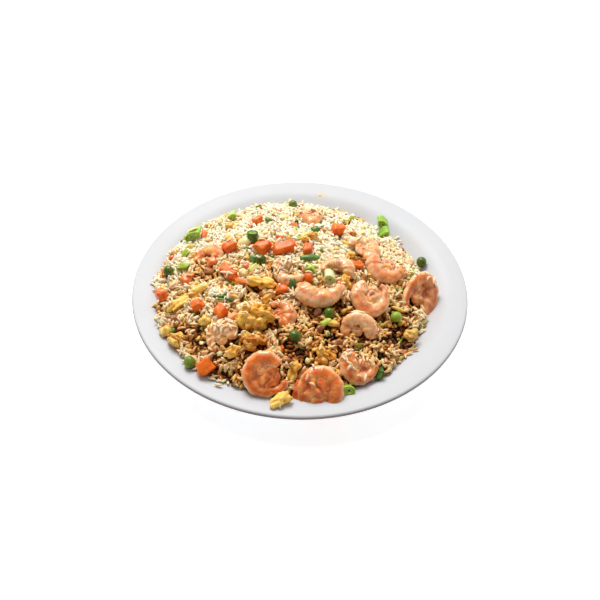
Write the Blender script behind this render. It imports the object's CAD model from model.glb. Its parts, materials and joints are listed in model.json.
import bpy
import bmesh
import json
import math
from mathutils import Matrix, Vector, noise
from mathutils.bvhtree import BVHTree

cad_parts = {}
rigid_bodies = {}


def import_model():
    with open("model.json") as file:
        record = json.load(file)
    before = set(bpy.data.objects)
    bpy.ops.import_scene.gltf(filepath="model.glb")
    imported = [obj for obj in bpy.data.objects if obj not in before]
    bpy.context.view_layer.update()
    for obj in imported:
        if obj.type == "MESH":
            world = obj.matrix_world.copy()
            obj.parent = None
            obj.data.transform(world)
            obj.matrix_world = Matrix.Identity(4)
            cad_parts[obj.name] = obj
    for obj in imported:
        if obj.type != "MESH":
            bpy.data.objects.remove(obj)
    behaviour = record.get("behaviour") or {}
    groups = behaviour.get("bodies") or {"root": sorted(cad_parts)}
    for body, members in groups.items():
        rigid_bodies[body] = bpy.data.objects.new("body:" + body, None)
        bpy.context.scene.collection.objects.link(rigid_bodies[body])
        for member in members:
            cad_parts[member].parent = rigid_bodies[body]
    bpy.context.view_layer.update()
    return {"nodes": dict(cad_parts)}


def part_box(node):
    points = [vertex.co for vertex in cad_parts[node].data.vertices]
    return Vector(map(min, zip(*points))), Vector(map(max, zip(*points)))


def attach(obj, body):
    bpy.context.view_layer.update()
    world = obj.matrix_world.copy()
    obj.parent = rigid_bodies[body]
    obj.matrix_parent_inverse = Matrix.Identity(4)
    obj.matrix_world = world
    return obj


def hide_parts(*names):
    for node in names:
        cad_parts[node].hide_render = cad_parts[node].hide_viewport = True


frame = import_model()
mm = 0.001
up = Vector((0, 0, 1))
noise.seed_set(3)  # noise vectors would start from the clock otherwise


# small helpers

def srgb(red, green, blue):
    parts = [value / 255 for value in (red, green, blue)]
    return tuple(c / 12.92 if c < 0.04045 else ((c + 0.055) / 1.055) ** 2.4 for c in parts) + (1.0,)


def ease(t):
    t = min(max(t, 0.0), 1.0)
    return t * t * (3.0 - 2.0 * t)


def linked(name, data):
    made = bpy.data.objects.new(name, data)
    bpy.context.collection.objects.link(made)
    return made


def meshOf(name, bm):
    mesh = bpy.data.meshes.new(name)
    bm.to_mesh(mesh)
    bm.free()
    return mesh


def wave(x, y, z):
    return noise.noise(Vector((x, y, z)))


def newPiece(name, bm, material, stands=()):
    return dress(linked(name, meshOf(name, bm)), material, stands)


def dress(piece, material, stands=()):
    piece.data.materials.clear()
    piece.data.materials.append(material)
    piece.data.polygons.foreach_set("use_smooth", [True] * len(piece.data.polygons))
    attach(piece, "root")
    if stands:
        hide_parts(*stands)
    return piece


def mergedCopy(node):
    # a CAD node's mesh is loose triangles, so a copy is merged before use
    bm = bmesh.new()
    bm.from_mesh(frame["nodes"][node].data)
    bmesh.ops.remove_doubles(bm, verts=bm.verts, dist=0.01 * mm)
    return bm


def treeOf(*nodes):
    corners, faces = [], []
    for name in nodes:
        mesh = frame["nodes"][name].data
        start = len(corners)
        corners += [vert.co.copy() for vert in mesh.vertices]
        faces += [[start + index for index in face.vertices] for face in mesh.polygons]
    return BVHTree.FromPolygons(corners, faces)


cadGround = treeOf("plate", "rice")
cadRice = treeOf("rice")


def scaledBy(co, sides):
    return Vector([part * side for part, side in zip(co, sides)])


def groundAt(x, y):
    spot = cadGround.ray_cast(Vector((x, y, 0.2)), -up)[0]
    return spot.z if spot else 0.0


def layersOf(bm, *names):
    return [bm.verts.layers.float.new(name) for name in names]


def wrap(bm, rings, around):
    # lays faces between neighbouring rings
    for ring, after in zip(rings, rings[1:]):
        for side in range(around):
            beside = (side + 1) % len(ring)
            bm.faces.new((ring[side], ring[beside], after[beside], after[side]))


def gather(bm, part):
    # adds a loose shape to a mesh
    draft = meshOf("draft", part)
    bm.from_mesh(draft)
    bpy.data.meshes.remove(draft)


# shader helpers

def addNode(tree, kind, inputs=None, **settings):
    made = tree.nodes.new(kind)
    for key, value in settings.items():
        setattr(made, key, value)
    for key, value in (inputs or {}).items():
        if isinstance(value, bpy.types.NodeSocket):
            tree.links.new(value, made.inputs[key])
        else:
            made.inputs[key].default_value = value
    return made


def newMaterial(name, **finish):
    material = bpy.data.materials.new(name)
    material.use_nodes = True
    shader = material.node_tree.nodes["Principled BSDF"]
    for key, value in finish.items():
        shader.inputs[key.replace("_", " ")].default_value = value
    return material.node_tree, shader, material


def foodSkin(name, roughness, coat, coatRoughness, gloss, soak, soakRadius):
    # soak is how much light sinks in, and its radius is for red, green and blue
    return newMaterial(name, Roughness=roughness, Coat_Weight=coat, Coat_Roughness=coatRoughness,
                       Specular_IOR_Level=gloss, Subsurface_Weight=soak, Subsurface_Scale=2 * mm,
                       Subsurface_Radius=soakRadius)


def objectSpot(tree):
    return addNode(tree, "ShaderNodeTexCoord").outputs["Object"]


def grainOf(spot, size, detail=2.0, rough=0.5, shift=0.0):
    # noise between 0 and 1 whose lumps are about one size across, in metres
    tree = spot.id_data
    if shift:
        spot = addNode(tree, "ShaderNodeVectorMath", {0: spot, 1: (shift, shift * 0.7, -shift)}).outputs[0]
    made = addNode(tree, "ShaderNodeTexNoise",
                   {"Vector": spot, "Scale": 0.6 / size, "Detail": detail, "Roughness": rough})
    return made.outputs["Fac"]


def spread(value, low, high, start=0.0, end=1.0):
    made = addNode(value.id_data, "ShaderNodeMapRange", {"Value": value, "From Min": low, "From Max": high,
                                                         "To Min": start, "To Max": end})
    return made.outputs["Result"]


def blots(spot, size, low, high, start=0.0, end=1.0, shift=0.0):
    # patches of about one size in mm, from start to end
    return spread(grainOf(spot, size * mm, 3.0, 0.6, shift), low, high, start, end)


def mathOf(operation, first, second, clamp=False):
    tree = (first if isinstance(first, bpy.types.NodeSocket) else second).id_data
    return addNode(tree, "ShaderNodeMath", {0: first, 1: second}, operation=operation, use_clamp=clamp).outputs[0]


def times(first, second, clamp=False):
    return mathOf('MULTIPLY', first, second, clamp)


def plus(first, second, clamp=False):
    return mathOf('ADD', first, second, clamp)


def mixColour(share, first, second, blend='MIX'):
    inputs = {0: share, 6: first, 7: second}
    return addNode(share.id_data, "ShaderNodeMix", inputs, data_type='RGBA', blend_type=blend).outputs[2]


def over(colour, share, *tint):
    return mixColour(share, colour, srgb(*tint))


def between(share, first, second):
    return mixColour(share, srgb(*first), srgb(*second))


def attributeOf(tree, name):
    return addNode(tree, "ShaderNodeAttribute", attribute_name=name).outputs["Fac"]


def wear(shader, colour, roughness=None, bump=None):
    # joins a colour, a roughness and a bump of height, distance and strength to the shader
    tree = shader.id_data
    tree.links.new(colour, shader.inputs["Base Color"])
    if roughness:
        tree.links.new(roughness, shader.inputs["Roughness"])
    if bump:
        made = addNode(tree, "ShaderNodeBump", dict(zip(("Height", "Distance", "Strength"), bump)))
        tree.links.new(made.outputs["Normal"], shader.inputs["Normal"])


# camera

cameraLook = dict(lens=52.0, sensor=36.0, distance=720 * mm, elevation=45.2, roll=1.17,
                  target=(0.16 * mm, -15.4 * mm, 20 * mm))


def makeCamera(look):
    rise = math.radians(look["elevation"])
    back = Vector((0, -math.cos(rise), math.sin(rise)))
    camera = bpy.data.cameras.new("camera")
    camera.lens = look["lens"]
    camera.sensor_width = look["sensor"]
    camera.clip_start = 0.01
    holder = linked("camera", camera)
    place = Matrix.Translation(Vector(look["target"]) + back * look["distance"])
    turn = (-back).to_track_quat('-Z', 'Y').to_matrix().to_4x4()
    holder.matrix_world = place @ turn @ Matrix.Rotation(math.radians(look["roll"]), 4, 'Z')
    bpy.context.scene.camera = holder


makeCamera(cameraLook)
print("camera placed")


# light and floor

lightLook = dict(skyNear=0.04, skyFar=1.06, keyPower=37.0, keySize=0.9, keyFrom=(-0.3, 0.95, 1.6), glow=0.5,
                 fillPower=1.2, fillSize=1.4, fillFrom=(0.7, -0.9, 1.5))


def addLamp(name, power, size, spot, tint):
    lamp = bpy.data.lights.new(name, 'AREA')
    lamp.energy = power
    lamp.size = size
    lamp.color = tint
    holder = linked(name, lamp)
    holder.location = spot
    holder.rotation_euler = (-Vector(spot)).to_track_quat('-Z', 'Y').to_euler()


def makeStudio(look):
    world = bpy.data.worlds.new("studio")
    world.use_nodes = True
    sky = world.node_tree.nodes["Background"]
    sky.inputs["Color"].default_value = (1.0, 0.985, 0.96, 1.0)
    facing = addNode(world.node_tree, "ShaderNodeTexCoord").outputs["Generated"]
    facing = addNode(world.node_tree, "ShaderNodeSeparateXYZ", {0: facing}).outputs["Y"]
    world.node_tree.links.new(spread(facing, -1.0, 1.0, look["skyNear"], look["skyFar"]), sky.inputs["Strength"])
    bpy.context.scene.world = world
    bpy.context.scene.view_settings.view_transform = 'Standard'
    addLamp("window", look["keyPower"], look["keySize"], look["keyFrom"], (1.0, 0.985, 0.96))
    addLamp("fill", look["fillPower"], look["fillSize"], look["fillFrom"], (1.0, 0.98, 0.95))

    tree, shader, paper = newMaterial("pale_floor", Roughness=0.95, Specular_IOR_Level=0.1,
                                      Emission_Strength=look["glow"])
    shader.inputs["Emission Color"].default_value = (1.0, 1.0, 1.0, 1.0)
    mottled = grainOf(objectSpot(tree), 60 * mm)
    wear(shader, between(mottled, (253, 253, 253), (251, 251, 252)))
    bm = bmesh.new()
    bmesh.ops.create_grid(bm, x_segments=8, y_segments=8, size=3.0)
    floor = linked("floor", meshOf("floor", bm))
    floor.data.materials.append(paper)


makeStudio(lightLook)
print("studio lit")


# plate

plateLook = dict(radius=140.0, thickness=4.0, wellRadius=90.0, wellHeight=6.5, wallRun=36.0, wallRise=13.0,
                 lipSlope=0.10, footInner=78.0, footOuter=83.0, footFlare=2.6, footEdge=0.4, footBevel=0.35,
                 footWaist=0.35, footShoulder=0.45, flatUnder=40, flatTop=(70, 50, 30, 12, 0), lipSteps=12,
                 segments=192,
                 sweep=(84, 87, 90, 93, 97, 101, 105, 109, 113, 117, 121, 125, 129, 133),
                 stain=(17 * mm, 121 * mm, 22 * mm))


def plateTop(radius):
    look = plateLook
    out = max(0.0, radius - look["wellRadius"])
    return look["wellHeight"] + look["wallRise"] * ease(out / look["wallRun"]) + look["lipSlope"] * out


def inOrder(parts, spotOf):
    # the spin leaves its corners and faces in any order
    for number, part in enumerate(sorted(parts, key=spotOf)):
        part.index = number
    parts.sort()


def makePlate(look):
    half = look["thickness"] / 2
    edge = look["radius"] - half
    under = look["wellHeight"] - look["thickness"]
    inner, outer, flare = look["footInner"], look["footOuter"], look["footFlare"]
    bevel, worn = look["footBevel"], look["footEdge"]
    waist, shoulder = flare * look["footWaist"], under * look["footShoulder"]
    section = [(0, under), (look["flatUnder"], under), (inner - flare, under), (inner - waist, shoulder),
               (inner, bevel), (inner + worn, 0), (outer - worn, 0), (outer, bevel),
               (outer + waist, shoulder), (outer + flare, under)]
    section += [(r, plateTop(r) - look["thickness"]) for r in look["sweep"][1:]]
    for step in range(look["lipSteps"] + 1):
        angle = math.radians(180 * step / look["lipSteps"] - 90)
        section.append((edge + half * math.cos(angle), plateTop(edge) - half + half * math.sin(angle)))
    section += [(r, plateTop(r)) for r in reversed(look["sweep"])]
    section += [(r, plateTop(0)) for r in look["flatTop"]]

    bm = bmesh.new()
    verts = [bm.verts.new((r * mm, 0, z * mm)) for r, z in section]
    edges = [bm.edges.new(pair) for pair in zip(verts, verts[1:])]
    bmesh.ops.spin(bm, geom=verts + edges, cent=(0, 0, 0), axis=(0, 0, 1), dvec=(0, 0, 0),
                   angle=math.tau, steps=look["segments"], use_merge=True)
    bmesh.ops.remove_doubles(bm, verts=bm.verts, dist=0.002 * mm)
    bmesh.ops.recalc_face_normals(bm, faces=bm.faces)
    inOrder(bm.verts, lambda vert: tuple(vert.co))
    inOrder(bm.faces, lambda face: tuple(face.calc_center_median()))

    tree, shader, glaze = newMaterial("white_glaze", Roughness=0.3, Specular_IOR_Level=0.1)
    spot = objectSpot(tree)
    pooled = spread(grainOf(spot, 45 * mm, 3.0), 0.3, 0.7)
    colour = between(pooled, (200, 202, 206), (197, 199, 203))
    specks = spread(grainOf(spot, 1.3 * mm, 1.0), 0.74, 0.82)
    colour = over(colour, times(specks, 0.25), 206, 200, 192)
    height = addNode(tree, "ShaderNodeSeparateXYZ", {0: spot}).outputs["Z"]
    stain = addNode(tree, "ShaderNodeVectorMath", {0: spot, 1: tuple(look["stain"])}, operation='DISTANCE')
    stain = plus(stain.outputs["Value"], times(grainOf(spot, 5 * mm), 9 * mm))
    colour = over(colour, spread(stain, 11 * mm, 5 * mm, 0.0, 0.5), 210, 190, 160)
    bare = spread(height, 0.5 * mm, 0.2 * mm)
    colour = over(colour, bare, 214, 204, 190)
    flat = addNode(tree, "ShaderNodeVectorMath", {0: spot, 1: (1.0, 1.0, 0.0)}, operation='MULTIPLY').outputs[0]
    reach = addNode(tree, "ShaderNodeVectorMath", {0: flat}, operation='LENGTH').outputs["Value"]
    ledge = addNode(tree, "ShaderNodeTexNoise", {"Vector": spot, "Scale": 60.0, "Detail": 2.0}).outputs["Fac"]
    rim = plus(reach, times(ledge, 0.5 * mm))
    rim = spread(rim, (look["radius"] - 0.9) * mm, (look["radius"] - 0.1) * mm)
    low = spread(height, (plateTop(edge) - 0.3) * mm, (plateTop(edge) - 1.2) * mm)
    colour = over(colour, times(rim, low), 128, 116, 112)
    gloss = spread(grainOf(spot, 18 * mm, 4.0), 0.2, 0.8, 0.26, 0.4)
    wear(shader, colour, plus(gloss, times(bare, 0.5)), (grainOf(spot, 14 * mm, 1.0), 0.05 * mm, 0.6))
    newPiece("glazed_plate", bm, glaze, ["plate"])


makePlate(plateLook)
print("plate turned")


# toppings: shared

def turned(bm, heading, tilt, lean):
    turn = (Matrix.Rotation(math.radians(lean), 4, 'Y') @ Matrix.Rotation(math.radians(tilt), 4, 'X')
            @ Matrix.Rotation(math.radians(heading), 4, 'Z'))
    bmesh.ops.transform(bm, matrix=turn, verts=bm.verts)


seatLook = dict(rounds=4, shows=0.3 * mm)


def seat(bm, node):
    # the part that shows above the rice and the plate is brought to the CAD node's box
    low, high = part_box(node)
    middle = (low + high) / 2
    shown = [vert.co for vert in bm.verts]
    for _ in range(seatLook["rounds"]):
        lo = Vector([min(co[axis] for co in shown) for axis in range(3)])
        hi = Vector([max(co[axis] for co in shown) for axis in range(3)])
        move = Vector((middle.x - (lo.x + hi.x) / 2, middle.y - (lo.y + hi.y) / 2, high.z - hi.z))
        bmesh.ops.translate(bm, vec=move, verts=bm.verts)
        shown = [vert.co for vert in bm.verts if vert.co.z > groundAt(vert.co.x, vert.co.y) + seatLook["shows"]]


def serve(bm, node, ending, turns, finish):
    turned(bm, *turns)
    seat(bm, node)
    newPiece(node + ending, bm, finish, [node])


def roughen(bm, seed, *layers):
    # each layer is a size and a depth in mm, and whether its hollows are sharp creases
    bm.normal_update()
    peak = bm.verts.layers.float.get("peak") or bm.verts.layers.float.new("peak")
    layers = [(size * mm, depth * mm, creased) for size, depth, creased in layers]
    whole = sum(layer[1] for layer in layers)
    shift = Vector((seed * 0.137, seed * 0.071, seed * 0.053))
    moves = []
    for vert in bm.verts:
        push = 0.0
        for size, depth, creased in layers:
            value = noise.noise(vert.co / size + shift * 9)
            push += depth * ((abs(value) * 2.2 - 0.5) if creased else value)
        moves.append(vert.normal * push)
        vert[peak] = push / whole
    for vert, move in zip(bm.verts, moves):
        vert.co += move


# shrimps

shrimpLook = dict(bend=10.2 * mm, half=7.6 * mm, flat=0.82, rings=96, sides=32, capRings=5, segments=6,
                  groove=0.06, grooveWidth=0.07, plates=0.04, cut=0.07, cutWidth=0.2, cutEnd=0.7,
                  belly=0.16, bellyFrom=0.06, bellyTo=0.86)
shrimps = {  # heading, tilt, lean, scale, curl, stretch, tail flare, how slim, pad in mm, how orange its sides are
    "shrimp_01": (14, 44, -5, 1.1, 300, 0.92, 0.5, 0.84, 10.5, 0.95),
    "shrimp_02": (-92, 44, 3, 1.10, 275, 1.0, 0.28, 0.84, 12.6, 1.0),
    "shrimp_03": (75, 38, 15, 0.95, 235, 1.0, 0.28, 1.0, 7, 0.84),
    "shrimp_04": (-70, 46, -4, 0.9, 265, 1.05, 0.28, 0.9, 4, 0.35),
    "shrimp_05": (95, 26, 12, 1.01, 290, 1.0, 0.28, 0.88, 9.0, 0.62),
    "shrimp_06": (92, 10, 0, 1.26, 200, 0.75, 0.28, 1.0, 0, 0.58),
    "shrimp_07": (80, 14, 12, 1.04, 215, 1.0, 0.28, 1.0, 7, 0.66),
    "shrimp_08": (-85, 38, 38, 1.04, 265, 1.4, 0.28, 0.9, 8, 0.82),
    "shrimp_09": (-130, 8, 12, 0.94, 235, 1.0, 0.28, 1.0, 6, 0.25),
    "shrimp_10": (35, 14, -6, 0.85, 240, 1.0, 0.28, 1.0, 0, 0.5),
    "shrimp_11": (200, 22, -8, 0.80, 215, 1.0, 0.28, 1.0, 5, 0.85),
    "shrimp_12": (-95, 10, 4, 0.90, 195, 0.9, 0.28, 1.0, 0, 0.1),
    "shrimp_13": (95, 20, 0, 0.72, 230, 1.1, 0.28, 1.0, 5, 0.4),
    "shrimp_14": (-95, -4, -20, 0.86, 210, 1.0, 0.28, 1.0, 0, 0.9),
    "shrimp_15": (-60, 24, -18, 0.84, 240, 1.0, 0.28, 1.0, 5, 0.3)}


def shrimpBody(look, scale, curl, stretch, flare, slim, pad, warmth, seed):
    bm = bmesh.new()
    back, along, warm = layersOf(bm, "back", "along", "warm")
    cap, count, sides = look["capRings"], look["rings"], look["sides"]
    rings = []
    for index in range(-cap, count + cap):
        share = min(max(index / (count - 1), 0.0), 1.0)
        beyond = max(-index, index - count + 1, 0) / cap
        angle = math.radians(180 + curl * (share - 0.5))
        opened = 1.08 - 0.26 * share + flare * ease((share - 0.8) / 0.2)
        bend = scale * (look["bend"] + look["half"] * (1 - slim)) * opened
        taper = (1.0 - 0.58 * share ** 1.7) * (0.72 + 0.28 * ease(share / 0.12))
        half = scale * look["half"] * taper * slim
        outward = Vector((math.cos(angle), math.sin(angle), 0))
        onward = Vector((-math.sin(angle), math.cos(angle), 0)) * (-1 if index < 0 else 1)
        centre = Vector((outward.x * stretch, outward.y, 0)) * bend
        centre += onward * half * 0.5 * math.sin(beyond * math.pi / 2)
        width = half * math.cos(beyond * math.pi / 2)
        part = share * look["segments"] + 0.12 * wave(share * 3, seed, 0)
        within = part - math.floor(part)
        uneven = 0.75 + 0.9 * wave(round(part) * 1.7, seed * 2.1, 3.3)
        groove = sum(math.exp(-((within - end) / look["grooveWidth"]) ** 2) for end in (0, 1)) * (beyond == 0) * uneven
        lobe = (0.5 - 0.5 * math.cos(math.tau * part)) ** 0.6
        lobe *= ease((share - look["bellyFrom"]) / 0.08) * ease((look["bellyTo"] - share) / 0.12)
        ring = []
        for side in range(sides):
            phi = math.tau * side / sides
            swing = phi if phi < math.pi else phi - math.tau
            outer = (math.cos(phi) + 1) / 2
            size = 1.0 - look["groove"] * groove * (0.05 + 0.95 * outer ** 1.5)
            size += look["plates"] * (within - 0.5) * outer * (beyond == 0)
            slit = math.exp(-(swing / look["cutWidth"]) ** 2) * ease((look["cutEnd"] - share) / 0.1)
            size -= look["cut"] * slit * (beyond == 0)
            size += look["belly"] * lobe * max(0.0, 1 - outer * 2.2) ** 0.8
            offset = outward * math.cos(phi) + up * math.sin(phi) * look["flat"]
            vert = bm.verts.new(centre + offset * width * size)
            vert[back] = outer
            vert[along] = part / look["segments"]
            vert[warm] = warmth
            ring.append(vert)
        rings.append(ring)
    wrap(bm, rings, sides)
    bmesh.ops.remove_doubles(bm, verts=bm.verts, dist=0.02 * mm)
    if pad:
        # folded flesh closes the middle of the curl
        made = bmesh.ops.create_icosphere(bm, subdivisions=5, radius=1.0)["verts"]
        for vert in made:
            flat = Vector((vert.co.x, vert.co.y, 0))
            fold = abs(noise.noise(vert.co * 1.7 + Vector((seed * 2.3, 0, 0)))) * 3.0
            vert.co = Vector((vert.co.x * pad * 1.12, vert.co.y * pad * 1.06, vert.co.z * pad * 0.4)) * mm
            vert.co.z *= 0.7 + 0.5 * min(fold, 1.0)
            vert[back] = 0.16 + 0.36 * min(fold, 1.0) + 0.1 * flat.length
            vert[along] = 0.5 / look["segments"]
            vert[warm] = warmth
    bmesh.ops.recalc_face_normals(bm, faces=bm.faces)
    roughen(bm, seed, (6.0, 0.8, False), (4.2, 0.2 + 0.3 * warmth, False), (2.2, 0.2, False), (1.3, 0.16, True))
    return bm


def shrimpMaterial():
    tree, shader, flesh = foodSkin("shrimp_flesh_cooked", 0.38, 0.55, 0.12, 0.3, 0.2, (1.0, 0.4, 0.15))
    spot = objectSpot(tree)
    back = attributeOf(tree, "back")
    along = attributeOf(tree, "along")
    warm = attributeOf(tree, "warm")
    peak = attributeOf(tree, "peak")
    wobble = grainOf(spot, 4 * mm, 2.0)
    swayed = plus(back, times(mathOf('SUBTRACT', wobble, 0.5), 0.5))
    place = plus(times(along, 6.0), times(wobble, 0.35))
    within = mathOf('FRACT', place, 0.0)
    band = times(spread(within, 0.0, 0.18), spread(within, 0.95, 0.45))
    blotch = blots(spot, 3.0, 0.34, 0.62, shift=0.31)

    pale = spread(grainOf(spot, 7 * mm, 2.0, 0.5, 0.17), 0.35, 0.65)
    colour = between(pale, (255, 220, 172), (246, 184, 122))
    pink = times(blots(spot, 1.5, 0.53, 0.64, shift=0.9), spread(back, 0.8, 0.5, 0.0, 0.45))
    colour = over(colour, pink, 226, 126, 78)
    ridge = spread(back, 0.95, 0.72, 0.1, 1.0)
    cooked = times(spread(warm, 0.55, 0.95, 0.0, 0.8), ridge)
    colour = over(colour, cooked, 236, 126, 38)
    flank = times(spread(swayed, 0.34, 0.66), spread(swayed, 0.92, 0.66, 0.08, 1.0))
    reach = plus(times(warm, 1.0), times(band, 0.2))
    amount = times(flank, times(reach, spread(blotch, 0.0, 1.0, 0.7, 1.15)), True)
    colour = over(colour, amount, 234, 108, 26)
    rust = times(blots(spot, 1.8, 0.55, 0.7, shift=0.7), amount)
    colour = over(colour, times(rust, 0.5), 196, 66, 14)
    seam = plus(spread(within, 0.09, 0.0), spread(within, 0.93, 1.0))
    seam = times(seam, times(blotch, spread(back, 0.3, 0.7, 0.0, 0.4)), True)
    colour = over(colour, seam, 190, 86, 28)
    hollow = times(spread(peak, -0.04, -0.4), spread(back, 0.9, 0.3, 0.15, 0.6))
    colour = over(colour, hollow, 170, 68, 18)
    sauce = times(blots(spot, 5.0, 0.36, 0.66, shift=0.53),
                  times(spread(back, 0.65, 0.15), spread(warm, 0.35, 0.95, 0.2, 0.7)))
    sauce = times(sauce, spread(peak, 0.2, -0.2, 0.1, 1.0))
    colour = over(colour, sauce, 176, 78, 24)
    fleck = times(spread(grainOf(spot, 1.0 * mm, 3.0, 0.65, 0.37), 0.54, 0.66, 0.0, 0.6),
                  times(spread(warm, 0.5, 1.0, 0.3, 1.0), spread(back, 0.95, 0.6)))
    colour = over(colour, fleck, 180, 56, 12)
    shine = times(spread(peak, 0.06, 0.34, 0.0, 0.75), spread(back, 0.85, 0.6))
    colour = over(colour, shine, 252, 184, 104)
    wear(shader, colour, spread(wobble, 0.3, 0.7, 0.26, 0.44), (grainOf(spot, 1.0 * mm, 3.0, 0.6), 0.3 * mm, 0.8))
    return flesh


def makeShrimps(flesh):
    for seed, (node, row) in enumerate(shrimps.items(), 1):
        serve(shrimpBody(shrimpLook, *row[3:], seed), node, "_cooked", row[:3], flesh)


makeShrimps(shrimpMaterial())
print("shrimps curled:", len(shrimps))


# carrots

carrotLook = dict(cuts=9, corner=2.0, skew=0.2)
carrots = {  # heading, tilt, lean, length, width, height
    "carrot_01": (20, 32, -18, 12, 11, 9), "carrot_02": (40, 20, -15, 9, 9, 8), "carrot_03": (10, 12, -22, 9, 8, 8),
    "carrot_04": (30, 0, -20, 8, 8, 8), "carrot_05": (35, 0, -12, 10, 9, 8), "carrot_06": (55, 10, -4, 13, 10, 9),
    "carrot_07": (20, 12, 6, 18, 9, 9), "carrot_08": (15, -8, 8, 11, 10, 9), "carrot_09": (8, 18, 4, 7, 7, 7),
    "carrot_10": (-48, 14, -10, 20, 8, 7), "carrot_11": (46, -14, -6, 9, 8, 7), "carrot_12": (85, 4, 10, 11, 7, 7),
    "carrot_13": (5, 8, 10, 10, 6, 6), "carrot_14": (10, 16, 0, 10, 6, 7)}


def softBlock(size, cuts, corner, skew, seed):
    # a block with rounded edges, its eight corners drawn a little out of true
    bm = bmesh.new()
    bmesh.ops.create_cube(bm, size=2.0)
    bmesh.ops.subdivide_edges(bm, edges=bm.edges[:], cuts=cuts, use_grid_fill=True)
    half = Vector([side * mm for side in size]) / 2
    corner *= mm
    inner = Vector([max(side - corner, 0.0) for side in half])
    for vert in bm.verts:
        full = scaledBy(vert.co, half)
        held = Vector([min(max(part, -side), side) for part, side in zip(full, inner)])
        away = full - held
        if away.length > 0:
            full = held + away.normalized() * corner
        pull = noise.noise_vector(Vector(vert.co) * 0.55 + Vector((seed * 3.7, seed * 1.3, 5.1)))
        vert.co = full + Vector([pull[axis] * half[axis] * skew * 2 for axis in range(3)])
    return bm


def carrotMaterial():
    tree, shader, finish = foodSkin("carrot_cooked", 0.42, 0.12, 0.2, 0.3, 0.1, (1.0, 0.35, 0.12))
    spot = objectSpot(tree)
    broad = spread(grainOf(spot, 7 * mm, 2.0), 0.32, 0.68)
    colour = between(broad, (242, 122, 34), (228, 92, 20))
    pale = blots(spot, 2.2, 0.5, 0.75, 0.0, 0.55, shift=0.4)
    colour = over(colour, pale, 252, 156, 66)
    dark = spread(grainOf(spot, 1.2 * mm, 2.0, 0.6, 0.9), 0.6, 0.78, 0.0, 0.4)
    colour = over(colour, dark, 176, 56, 8)
    wear(shader, colour, spread(broad, 0.0, 1.0, 0.3, 0.45), (grainOf(spot, 0.9 * mm, 3.0, 0.6), 0.2 * mm, 0.5))
    return finish


def makeCarrots(finish):
    for seed, (node, row) in enumerate(carrots.items(), 1):
        bm = softBlock(row[3:], **carrotLook, seed=seed)
        roughen(bm, seed, (4.0, 0.45, False), (1.8, 0.2, False), (0.9, 0.08, False))
        serve(bm, node, "_diced", row[:3], finish)


makeCarrots(carrotMaterial())
print("carrots diced:", len(carrots))


# peas

peaLook = dict(radius=4.5 * mm, dimple=0.5)
peas = {  # scale, how light its green is
    "pea_01": (0.95, 0.1), "pea_02": (1.02, 0.35), "pea_03": (1.08, 0.0), "pea_04": (1.00, 0.15),
    "pea_05": (0.96, 0.0), "pea_06": (1.02, 0.9), "pea_07": (0.98, 0.05), "pea_08": (0.92, 0.3)}


def peaMaterial():
    tree, shader, finish = foodSkin("pea_cooked", 0.38, 0.12, 0.15, 0.35, 0.06, (0.4, 1.0, 0.2))
    spot = objectSpot(tree)
    light = attributeOf(tree, "light")
    broad = spread(grainOf(spot, 6 * mm, 2.0), 0.35, 0.65)
    deep = between(broad, (84, 106, 14), (44, 66, 6))
    fresh = between(broad, (168, 190, 66), (128, 160, 40))
    colour = mixColour(light, deep, fresh)
    wash = blots(spot, 2.0, 0.52, 0.75, 0.0, 0.5, shift=0.2)
    colour = over(colour, wash, 128, 144, 44)
    wear(shader, colour, spread(wash, 0.0, 0.5, 0.28, 0.46), (grainOf(spot, 1.0 * mm, 2.0, 0.6), 0.15 * mm, 0.4))
    return finish


def makePeas(finish):
    for seed, (node, (scale, fresh)) in enumerate(peas.items(), 1):
        bm = bmesh.new()
        light, = layersOf(bm, "light")
        bmesh.ops.create_icosphere(bm, subdivisions=4, radius=peaLook["radius"] * scale)
        for vert in bm.verts:
            vert[light] = fresh
        roughen(bm, seed, (6, peaLook["dimple"], False), (2, 0.12, True))
        serve(bm, node, "_cooked", (seed * 50, 10, 6), finish)


makePeas(peaMaterial())
print("peas set:", len(peas))


# scrambled egg

eggLook = dict(level=5, swell=0.5, curd=6.0, curdDepth=1.3, fine=2.6, fineDepth=0.55, reach=0.3)
eggs = {  # heading, tilt, lean, length, width, height, how smooth, lobes, how browned
    "egg_01": (10, 22, -6, 28, 21, 15, 0.1, 11, 0.2), "egg_02": (-16, 34, -8, 21, 15, 11, 0.1, 4, 0.95),
    "egg_03": (32, 4, -24, 30, 9, 7, 0.6, 2, -0.2), "egg_04": (-14, 12, -6, 22, 9, 8, 0.65, 2, -0.2),
    "egg_05": (26, 24, -4, 21, 10, 7, 0.7, 2, 0.1), "egg_06": (-12, 34, 6, 18, 12, 10, 0.1, 4, 0.7),
    "egg_07": (-80, 12, 8, 11, 8, 8, 0.7, 1, 0.4), "egg_08": (40, 24, 26, 14, 10, 8, 0.6, 2, 0.7),
    "egg_09": (-38, 18, -26, 18, 11, 8, 0.4, 3, 0.3), "egg_10": (18, 34, -14, 13, 9, 8, 0.9, 1, 0.2),
    "egg_11": (10, -2, 4, 14, 10, 8, 0.6, 3, 0.1), "egg_12": (70, 40, 0, 16, 8, 8, 0.75, 2, 0.4)}


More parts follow.
